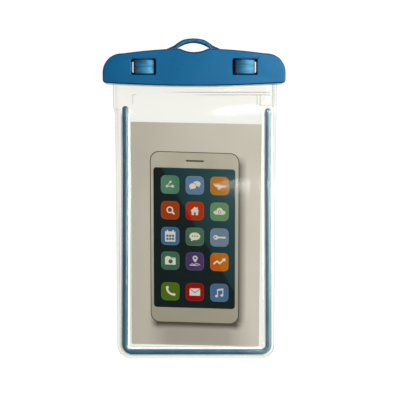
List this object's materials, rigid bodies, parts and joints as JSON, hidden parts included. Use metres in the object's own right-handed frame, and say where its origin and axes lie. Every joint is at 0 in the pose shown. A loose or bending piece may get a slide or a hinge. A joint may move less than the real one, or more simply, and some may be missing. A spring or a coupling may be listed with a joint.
{
  "type": "waterproof phone pouch",
  "caption": "Flat clear film bag with a blue piped edge and an insert card, closed by a hinged blue snap clip with a carrying loop.",
  "frame": {"origin": "middle of the pouch's bounding box in X and Y, on the plane that it lies on", "axes": "+Y from the bag's bottom to the carrying loop, +Z out of the front face, +X to the right seen from the front"},
  "size_m": [0.12, 0.2174, 0.0128],
  "materials": {
    "clip_plastic": "smooth moulded, satin gloss",
    "clear_film": "clear soft film, glossy",
    "piping_plastic": "soft satin plastic under clear film",
    "seal_rubber": "matte",
    "pin_steel": "drawn wire",
    "card": "printed, matt"
  },
  "bodies": {
    "pouch": {"clip_back_jaw": "clip_plastic", "hinge_pin_left": "pin_steel", "hinge_pin_right": "pin_steel", "seal_strip": "seal_rubber", "film_front": "clear_film", "film_back": "clear_film", "piping": "piping_plastic", "insert_card": "card"},
    "front_jaw": {"clip_front_jaw": "clip_plastic"}
  },
  "joints": [
    {"name": "clip_hinge", "type": "hinge", "parent": "pouch", "child": "front_jaw", "pos_m": [0, 0.0977, 0.0064], "axis": [-1, 0, 0], "range_deg": [0, 90]}
  ]
}
